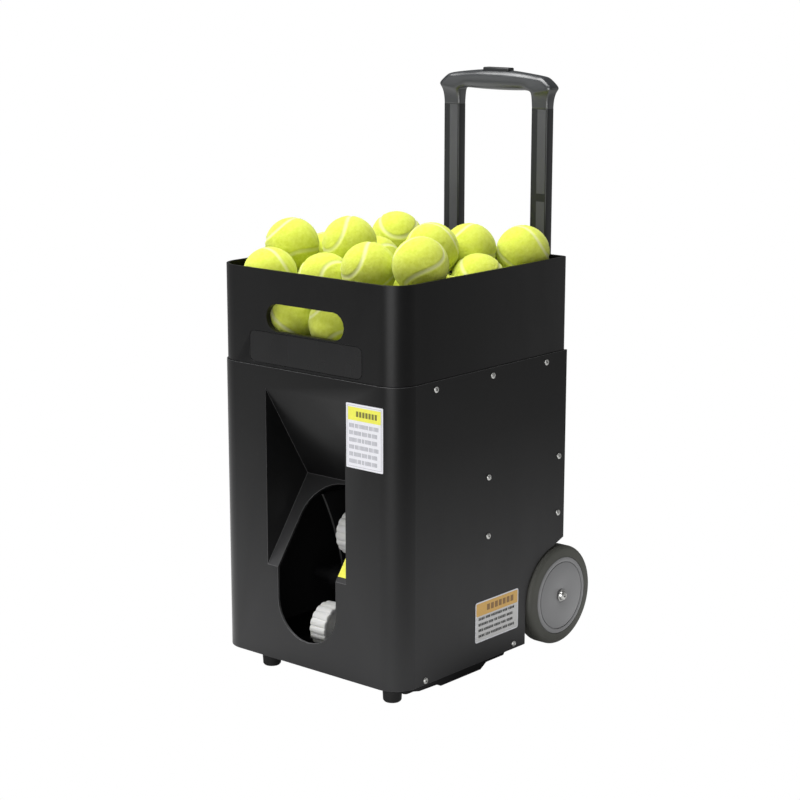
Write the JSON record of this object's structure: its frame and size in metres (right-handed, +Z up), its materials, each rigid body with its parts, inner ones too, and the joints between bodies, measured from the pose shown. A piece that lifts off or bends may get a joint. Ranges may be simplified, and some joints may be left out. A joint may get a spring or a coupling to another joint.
{
  "type": "tennis ball machine",
  "caption": "Portable tennis ball machine: open ball hopper, funnel-shaped throwing port with two throwing wheels, side transport wheels and a telescopic trolley handle.",
  "frame": {"origin": "on the ground under the middle of the overall box, with the machine standing on its wheels and front feet", "axes": "+Z up; balls are thrown towards -Y; +X is on the right for someone in front of the machine, the side with the information label"},
  "size_m": [0.315, 0.3744, 0.7137],
  "materials": {
    "casing": "satin moulded black plastic",
    "inner_black": "matte black plastic",
    "tyre": "soft grey rubber",
    "feet": "matte black rubber",
    "hub": "satin mid-grey plastic",
    "throwing_wheel": "white moulded polyurethane",
    "steel": "zinc-plated steel",
    "plated_metal": "dark coated metal",
    "grey_plastic": "dark grey plastic",
    "board": "green lacquered circuit board",
    "label": "printed film label",
    "switch": "red gloss plastic"
  },
  "bodies": {
    "root": {"front_shell": "casing", "rear_cover": "casing", "base_plate": "inner_black", "belly_pan": "inner_black", "foot_left": "feet", "foot_right": "feet", "wheel_axle": "steel", "wheel_well_left": "inner_black", "wheel_well_right": "inner_black", "hopper": "casing", "hopper_floor": "inner_black", "feed_pan": "inner_black", "feed_baffle": "inner_black", "feed_motor": "plated_metal", "drop_tube": "inner_black", "battery": "inner_black", "battery_strap": "steel", "control_board": "board", "control_panel": "inner_black", "charge_socket": "inner_black", "front_label": "label", "side_label": "label", "port_label": "label", "handle_guide_left": "plated_metal", "handle_guide_right": "plated_metal", "handle_bracket_upper": "casing", "handle_bracket_lower": "casing", "yaw_motor": "plated_metal"},
    "transport_wheel_left": {"tyre_left": "tyre", "hub_left": "hub"},
    "transport_wheel_right": {"tyre_right": "tyre", "hub_right": "hub"},
    "feed_carousel": {"feed_rotor": "grey_plastic", "feed_shaft": "steel"},
    "yaw_turntable": {"turntable": "plated_metal", "yaw_cradle": "plated_metal", "pitch_motor": "plated_metal"},
    "yaw_roller": {"yaw_roller": "feet"},
    "launcher_head": {"guide_plate": "grey_plastic", "motor_plate": "plated_metal", "ball_ramp": "grey_plastic", "throwing_motor_upper": "plated_metal", "throwing_motor_lower": "plated_metal", "pitch_shaft": "steel", "pitch_pin": "steel"},
    "throwing_wheel_upper": {"throwing_wheel_upper": "throwing_wheel", "throwing_shaft_upper": "steel"},
    "throwing_wheel_lower": {"throwing_wheel_lower": "throwing_wheel", "throwing_shaft_lower": "steel"},
    "trolley_handle": {"handle_tube_left": "casing", "handle_tube_right": "casing", "handle_grip": "casing"},
    "handle_button": {"handle_button": "casing"},
    "power_switch": {"power_switch": "switch"},
    "speed_knob": {"speed_knob": "grey_plastic"},
    "feed_knob": {"feed_knob": "grey_plastic"},
    "sweep_button": {"sweep_button": "grey_plastic"}
  },
  "joints": [
    {"name": "transport_wheel_left_spin", "type": "hinge", "parent": "root", "child": "transport_wheel_left", "pos_m": [0, 0.12262, 0.0634], "axis": [1, 0, 0], "continuous": true},
    {"name": "transport_wheel_right_spin", "type": "hinge", "parent": "root", "child": "transport_wheel_right", "pos_m": [0, 0.12262, 0.0634], "axis": [1, 0, 0], "continuous": true},
    {"name": "handle_slide", "type": "slide", "parent": "root", "child": "trolley_handle", "axis": [0, 0, 1], "range_m": [-0.225, 0]},
    {"name": "handle_release", "type": "slide", "parent": "trolley_handle", "child": "handle_button", "axis": [0, 0, -1], "range_m": [0, 0.0025], "stiffness_N_per_m": 400, "springref_m": -0.0005},
    {"name": "feed_spin", "type": "hinge", "parent": "root", "child": "feed_carousel", "pos_m": [0, 0.01962, 0.2895], "axis": [0, 0, 1], "continuous": true},
    {"name": "yaw_turn", "type": "hinge", "parent": "root", "child": "yaw_turntable", "pos_m": [0, -0.05638, 0.0218], "axis": [0, 0, 1], "range_deg": [-5, 5]},
    {"name": "yaw_roller_turn", "type": "hinge", "parent": "root", "child": "yaw_roller", "pos_m": [0.0673, -0.05638, 0.0235], "axis": [0, 0, 1], "range_deg": [-23, 23]},
    {"name": "pitch_tilt", "type": "hinge", "parent": "yaw_turntable", "child": "launcher_head", "pos_m": [0, -0.05638, 0.0865], "axis": [-1, 0, 0], "range_deg": [-3, 12]},
    {"name": "throw_upper_spin", "type": "hinge", "parent": "launcher_head", "child": "throwing_wheel_upper", "pos_m": [0, -0.09288, 0.1645], "axis": [1, 0, 0], "continuous": true},
    {"name": "throw_lower_spin", "type": "hinge", "parent": "launcher_head", "child": "throwing_wheel_lower", "pos_m": [0, -0.14088, 0.0575], "axis": [1, 0, 0], "continuous": true},
    {"name": "power_switch_rock", "type": "hinge", "parent": "root", "child": "power_switch", "pos_m": [-0.022, 0.15562, 0.2625], "axis": [0, 0, 1], "range_deg": [0, 10]},
    {"name": "speed_knob_turn", "type": "hinge", "parent": "root", "child": "speed_knob", "pos_m": [-0.022, 0.15562, 0.3105], "axis": [0, 1, 0], "range_deg": [-140, 140]},
    {"name": "feed_knob_turn", "type": "hinge", "parent": "root", "child": "feed_knob", "pos_m": [0.022, 0.15562, 0.3105], "axis": [0, 1, 0], "range_deg": [-140, 140]},
    {"name": "sweep_button_press", "type": "slide", "parent": "root", "child": "sweep_button", "axis": [0, -1, 0], "range_m": [0, 0.002], "stiffness_N_per_m": 300, "springref_m": -0.0005}
  ],
  "couplings": [
    {"joint": "yaw_roller_turn", "follows": "yaw_turn", "ratio": -4.5833}
  ]
}
